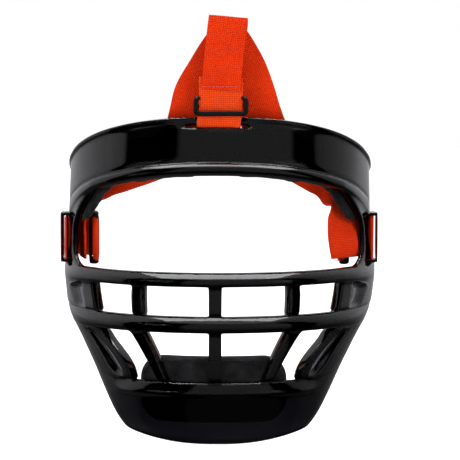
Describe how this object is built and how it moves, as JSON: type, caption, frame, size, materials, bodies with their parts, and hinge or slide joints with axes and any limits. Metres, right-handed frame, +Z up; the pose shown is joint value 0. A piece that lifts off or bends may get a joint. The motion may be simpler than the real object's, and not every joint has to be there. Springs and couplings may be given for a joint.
{
  "type": "fielder's face guard",
  "caption": "Moulded smoke-clear face guard with forehead band, open grille and chin shield, foam pads and an elastic webbing harness.",
  "frame": {"origin": "middle of the forehead pad's inner face, where the wearer's forehead rests", "axes": "+X towards the wearer's left, -Y the way the wearer looks, +Z up"},
  "size_m": [0.1896, 0.1103, 0.2422],
  "materials": {
    "smoke_shell": "polished, smoke-tinted transparent polycarbonate, almost black",
    "pad_fabric": "matt black brushed knit bonded to foam",
    "pad_foam": "closed-cell black foam",
    "hook_tape": "matt black hook tape",
    "webbing": "orange woven webbing, matt",
    "elastic": "orange ribbed elastic, matt",
    "adjuster": "black satin moulded acetal",
    "thread": "red-orange polyester thread"
  },
  "bodies": {
    "frame": {"forehead_band": "smoke_shell", "left_post": "smoke_shell", "right_post": "smoke_shell", "cheek_rail": "smoke_shell", "middle_rail": "smoke_shell", "upper_bars": "smoke_shell", "lower_bars": "smoke_shell", "left_cheek_panel": "smoke_shell", "right_cheek_panel": "smoke_shell", "chin_shield": "smoke_shell", "forehead_pad": "pad_fabric", "left_temple_pad": "pad_fabric", "right_temple_pad": "pad_fabric", "chin_pad_cover": "pad_fabric", "chin_pad_core": "pad_foam", "forehead_hook_tape": "hook_tape", "left_temple_tape": "hook_tape", "right_temple_tape": "hook_tape", "chin_hook_tape": "hook_tape", "left_lower_leg": "elastic", "right_lower_leg": "elastic", "left_side_loop": "elastic", "right_side_loop": "elastic"},
    "harness": {"front_webbing": "webbing", "top_strap": "elastic", "left_upper_leg": "elastic", "right_upper_leg": "elastic", "front_seam": "thread", "crown_seam": "thread"},
    "top_adjuster": {"top_tri_glide": "adjuster"},
    "left_adjuster": {"left_tri_glide": "adjuster"},
    "right_adjuster": {"right_tri_glide": "adjuster"}
  },
  "joints": [
    {"name": "harness_hinge", "type": "hinge", "parent": "frame", "child": "harness", "pos_m": [0, -0.00398, 0.01589], "axis": [-1, 0, 0], "range_deg": [-10, 40], "stiffness_Nm_per_rad": 0.05},
    {"name": "top_adjuster_slide", "type": "slide", "parent": "harness", "child": "top_adjuster", "axis": [0, 0, 1], "range_m": [0, 0.004]},
    {"name": "left_adjuster_slide", "type": "slide", "parent": "frame", "child": "left_adjuster", "axis": [-0.1052, 0.9945, 0], "range_m": [-0.008, 0.008]},
    {"name": "right_adjuster_slide", "type": "slide", "parent": "frame", "child": "right_adjuster", "axis": [0.1052, 0.9945, 0], "range_m": [-0.008, 0.008]}
  ]
}
